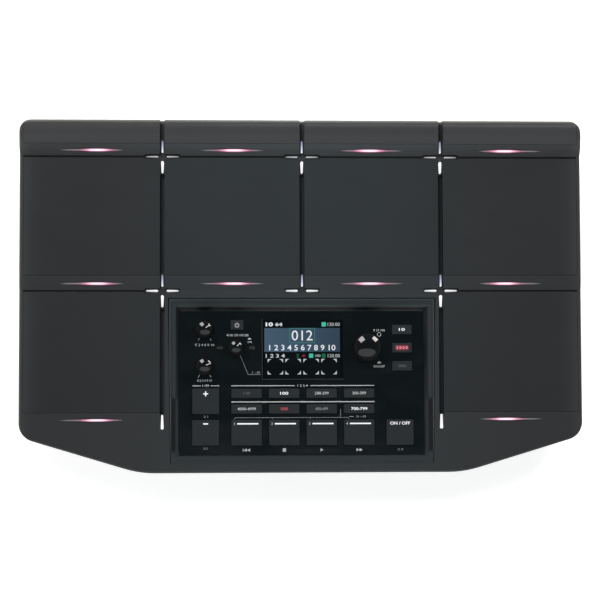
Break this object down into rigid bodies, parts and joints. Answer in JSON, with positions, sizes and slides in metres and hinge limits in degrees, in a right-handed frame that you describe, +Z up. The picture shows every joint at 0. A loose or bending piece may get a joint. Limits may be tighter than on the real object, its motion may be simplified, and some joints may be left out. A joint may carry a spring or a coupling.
{
  "type": "sampling drum pad",
  "caption": "Table-top sampling drum pad: rubber striking pads and bars round a recessed panel with display, knobs and keys.",
  "frame": {"origin": "on the table, under the middle of the object's box", "axes": "+X to the player's right, +Y away from the player, +Z up; the deck rises 5.5 degrees towards the rear"},
  "size_m": [0.428, 0.268, 0.0693],
  "materials": {
    "case_plastic": "fine matt moulded plastic",
    "pad_rubber": "matt striking rubber",
    "panel_gloss": "glossy black panel",
    "bezel_plastic": "satin frame plastic",
    "button_rubber": "soft-touch keys",
    "knob_black": "glossy black knobs",
    "display_glass": "display glass over the lit picture",
    "light_guide": "milky light guide",
    "pad_light_guide": "milky light guide",
    "sheet_steel": "powder-coated sheet steel",
    "zinc_steel": "zinc-plated steel",
    "board_green": "circuit board",
    "foam_grey": "closed-cell foam",
    "brass": "turned brass",
    "jack_plastic": "socket housings",
    "screw_steel": "blackened screws",
    "foot_rubber": "matt rubber",
    "control_metal": "die-cast control bodies"
  },
  "bodies": {
    "root": {"top_case": "case_plastic", "bottom_case": "case_plastic", "pad_chassis": "zinc_steel", "pad_foam": "foam_grey", "pad_sensors": "brass", "pad_lights": "pad_light_guide", "corner_lights": "light_guide", "panel_bezel": "bezel_plastic", "control_panel": "panel_gloss", "display_module": "display_glass", "panel_board": "board_green", "rotary_controls": "control_metal", "main_board": "board_green", "jack_plate": "sheet_steel", "phone_jacks": "jack_plastic", "midi_sockets": "jack_plastic", "usb_socket": "zinc_steel", "dc_socket": "jack_plastic", "rubber_feet": "foot_rubber", "screws": "screw_steel", "stand_inserts": "brass"},
    "bar_pad_1": {"bar_pad_1": "pad_rubber"},
    "main_pad_1": {"main_pad_1": "pad_rubber"},
    "bar_pad_2": {"bar_pad_2": "pad_rubber"},
    "main_pad_2": {"main_pad_2": "pad_rubber"},
    "bar_pad_3": {"bar_pad_3": "pad_rubber"},
    "main_pad_3": {"main_pad_3": "pad_rubber"},
    "bar_pad_4": {"bar_pad_4": "pad_rubber"},
    "main_pad_4": {"main_pad_4": "pad_rubber"},
    "low_pad_1": {"low_pad_1": "pad_rubber"},
    "low_pad_2": {"low_pad_2": "pad_rubber"},
    "power_button": {"power_button": "button_rubber"},
    "edit_button": {"edit_button": "button_rubber"},
    "write_button": {"write_button": "button_rubber"},
    "exit_button": {"exit_button": "button_rubber"},
    "kit_plus_button": {"kit_plus_button": "button_rubber"},
    "kit_minus_button": {"kit_minus_button": "button_rubber"},
    "sound_off_button": {"sound_off_button": "button_rubber"},
    "mode_button_1": {"mode_button_1": "button_rubber"},
    "function_button_1": {"function_button_1": "button_rubber"},
    "assign_button_1": {"assign_button_1": "button_rubber"},
    "mode_button_2": {"mode_button_2": "button_rubber"},
    "function_button_2": {"function_button_2": "button_rubber"},
    "assign_button_2": {"assign_button_2": "button_rubber"},
    "mode_button_3": {"mode_button_3": "button_rubber"},
    "function_button_3": {"function_button_3": "button_rubber"},
    "assign_button_3": {"assign_button_3": "button_rubber"},
    "mode_button_4": {"mode_button_4": "button_rubber"},
    "function_button_4": {"function_button_4": "button_rubber"},
    "assign_button_4": {"assign_button_4": "button_rubber"},
    "main_volume_knob": {"main_volume_knob": "knob_black", "main_volume_shaft": "control_metal"},
    "phones_knob": {"phones_knob": "knob_black", "phones_shaft": "control_metal"},
    "metronome_rotor": {"metronome_rotor": "control_metal"},
    "metronome_knob": {"metronome_knob": "knob_black", "metronome_shaft": "control_metal"},
    "value_rotor": {"value_rotor": "control_metal"},
    "value_knob": {"value_knob": "knob_black", "value_shaft": "control_metal"}
  },
  "joints": [
    {"name": "bar_pad_1_press", "type": "slide", "parent": "root", "child": "bar_pad_1", "axis": [0, 0.0958, -0.9954], "range_m": [0, 0.0008], "stiffness_N_per_m": 6000, "springref_m": -0.0006, "deforming": ["pad_foam"]},
    {"name": "main_pad_1_press", "type": "slide", "parent": "root", "child": "main_pad_1", "axis": [0, 0.0958, -0.9954], "range_m": [0, 0.0008], "stiffness_N_per_m": 6000, "springref_m": -0.0006},
    {"name": "bar_pad_2_press", "type": "slide", "parent": "root", "child": "bar_pad_2", "axis": [0, 0.0958, -0.9954], "range_m": [0, 0.0008], "stiffness_N_per_m": 6000, "springref_m": -0.0006},
    {"name": "main_pad_2_press", "type": "slide", "parent": "root", "child": "main_pad_2", "axis": [0, 0.0958, -0.9954], "range_m": [0, 0.0008], "stiffness_N_per_m": 6000, "springref_m": -0.0006},
    {"name": "bar_pad_3_press", "type": "slide", "parent": "root", "child": "bar_pad_3", "axis": [0, 0.0958, -0.9954], "range_m": [0, 0.0008], "stiffness_N_per_m": 6000, "springref_m": -0.0006},
    {"name": "main_pad_3_press", "type": "slide", "parent": "root", "child": "main_pad_3", "axis": [0, 0.0958, -0.9954], "range_m": [0, 0.0008], "stiffness_N_per_m": 6000, "springref_m": -0.0006},
    {"name": "bar_pad_4_press", "type": "slide", "parent": "root", "child": "bar_pad_4", "axis": [0, 0.0958, -0.9954], "range_m": [0, 0.0008], "stiffness_N_per_m": 6000, "springref_m": -0.0006},
    {"name": "main_pad_4_press", "type": "slide", "parent": "root", "child": "main_pad_4", "axis": [0, 0.0958, -0.9954], "range_m": [0, 0.0008], "stiffness_N_per_m": 6000, "springref_m": -0.0006},
    {"name": "low_pad_1_press", "type": "slide", "parent": "root", "child": "low_pad_1", "axis": [0, 0.0958, -0.9954], "range_m": [0, 0.0008], "stiffness_N_per_m": 6000, "springref_m": -0.0006},
    {"name": "low_pad_2_press", "type": "slide", "parent": "root", "child": "low_pad_2", "axis": [0, 0.0958, -0.9954], "range_m": [0, 0.0008], "stiffness_N_per_m": 6000, "springref_m": -0.0006},
    {"name": "power_button_press", "type": "slide", "parent": "root", "child": "power_button", "axis": [0, 0.061, -0.9981], "range_m": [0, 0.0005], "stiffness_N_per_m": 500, "springref_m": -0.001},
    {"name": "edit_button_press", "type": "slide", "parent": "root", "child": "edit_button", "axis": [0, 0.061, -0.9981], "range_m": [0, 0.0005], "stiffness_N_per_m": 500, "springref_m": -0.001},
    {"name": "write_button_press", "type": "slide", "parent": "root", "child": "write_button", "axis": [0, 0.061, -0.9981], "range_m": [0, 0.0005], "stiffness_N_per_m": 500, "springref_m": -0.001},
    {"name": "exit_button_press", "type": "slide", "parent": "root", "child": "exit_button", "axis": [0, 0.061, -0.9981], "range_m": [0, 0.0005], "stiffness_N_per_m": 500, "springref_m": -0.001},
    {"name": "kit_plus_button_press", "type": "slide", "parent": "root", "child": "kit_plus_button", "axis": [0, 0.061, -0.9981], "range_m": [0, 0.0005], "stiffness_N_per_m": 500, "springref_m": -0.001},
    {"name": "kit_minus_button_press", "type": "slide", "parent": "root", "child": "kit_minus_button", "axis": [0, 0.061, -0.9981], "range_m": [0, 0.0005], "stiffness_N_per_m": 500, "springref_m": -0.001},
    {"name": "sound_off_button_press", "type": "slide", "parent": "root", "child": "sound_off_button", "axis": [0, 0.061, -0.9981], "range_m": [0, 0.0005], "stiffness_N_per_m": 500, "springref_m": -0.001},
    {"name": "mode_button_1_press", "type": "slide", "parent": "root", "child": "mode_button_1", "axis": [0, 0.061, -0.9981], "range_m": [0, 0.0005], "stiffness_N_per_m": 500, "springref_m": -0.001},
    {"name": "function_button_1_press", "type": "slide", "parent": "root", "child": "function_button_1", "axis": [0, 0.061, -0.9981], "range_m": [0, 0.0005], "stiffness_N_per_m": 500, "springref_m": -0.001},
    {"name": "assign_button_1_press", "type": "slide", "parent": "root", "child": "assign_button_1", "axis": [0, 0.061, -0.9981], "range_m": [0, 0.0005], "stiffness_N_per_m": 500, "springref_m": -0.001},
    {"name": "mode_button_2_press", "type": "slide", "parent": "root", "child": "mode_button_2", "axis": [0, 0.061, -0.9981], "range_m": [0, 0.0005], "stiffness_N_per_m": 500, "springref_m": -0.001},
    {"name": "function_button_2_press", "type": "slide", "parent": "root", "child": "function_button_2", "axis": [0, 0.061, -0.9981], "range_m": [0, 0.0005], "stiffness_N_per_m": 500, "springref_m": -0.001},
    {"name": "assign_button_2_press", "type": "slide", "parent": "root", "child": "assign_button_2", "axis": [0, 0.061, -0.9981], "range_m": [0, 0.0005], "stiffness_N_per_m": 500, "springref_m": -0.001},
    {"name": "mode_button_3_press", "type": "slide", "parent": "root", "child": "mode_button_3", "axis": [0, 0.061, -0.9981], "range_m": [0, 0.0005], "stiffness_N_per_m": 500, "springref_m": -0.001},
    {"name": "function_button_3_press", "type": "slide", "parent": "root", "child": "function_button_3", "axis": [0, 0.061, -0.9981], "range_m": [0, 0.0005], "stiffness_N_per_m": 500, "springref_m": -0.001},
    {"name": "assign_button_3_press", "type": "slide", "parent": "root", "child": "assign_button_3", "axis": [0, 0.061, -0.9981], "range_m": [0, 0.0005], "stiffness_N_per_m": 500, "springref_m": -0.001},
    {"name": "mode_button_4_press", "type": "slide", "parent": "root", "child": "mode_button_4", "axis": [0, 0.061, -0.9981], "range_m": [0, 0.0005], "stiffness_N_per_m": 500, "springref_m": -0.001},
    {"name": "function_button_4_press", "type": "slide", "parent": "root", "child": "function_button_4", "axis": [0, 0.061, -0.9981], "range_m": [0, 0.0005], "stiffness_N_per_m": 500, "springref_m": -0.001},
    {"name": "assign_button_4_press", "type": "slide", "parent": "root", "child": "assign_button_4", "axis": [0, 0.061, -0.9981], "range_m": [0, 0.0005], "stiffness_N_per_m": 500, "springref_m": -0.001},
    {"name": "main_volume_turn", "type": "hinge", "parent": "root", "child": "main_volume_knob", "pos_m": [-0.074, -0.02561, 0.0431], "axis": [0, -0.061, 0.9981], "range_deg": [-90, 200]},
    {"name": "phones_turn", "type": "hinge", "parent": "root", "child": "phones_knob", "pos_m": [-0.074, -0.05356, 0.04139], "axis": [0, -0.061, 0.9981], "range_deg": [-75, 215]},
    {"name": "metronome_turn", "type": "hinge", "parent": "root", "child": "metronome_rotor", "pos_m": [-0.0502, -0.03959, 0.04224], "axis": [0, -0.061, 0.9981], "range_deg": [-100, 190]},
    {"name": "metronome_press", "type": "slide", "parent": "metronome_rotor", "child": "metronome_knob", "axis": [0, 0.061, -0.9981], "range_m": [0, 0.0005], "stiffness_N_per_m": 1500, "springref_m": -0.001},
    {"name": "value_turn", "type": "hinge", "parent": "root", "child": "value_rotor", "pos_m": [0.0496, -0.03959, 0.04224], "axis": [0, -0.061, 0.9981], "continuous": true},
    {"name": "value_press", "type": "slide", "parent": "value_rotor", "child": "value_knob", "axis": [0, 0.061, -0.9981], "range_m": [0, 0.0005], "stiffness_N_per_m": 1500, "springref_m": -0.001}
  ]
}
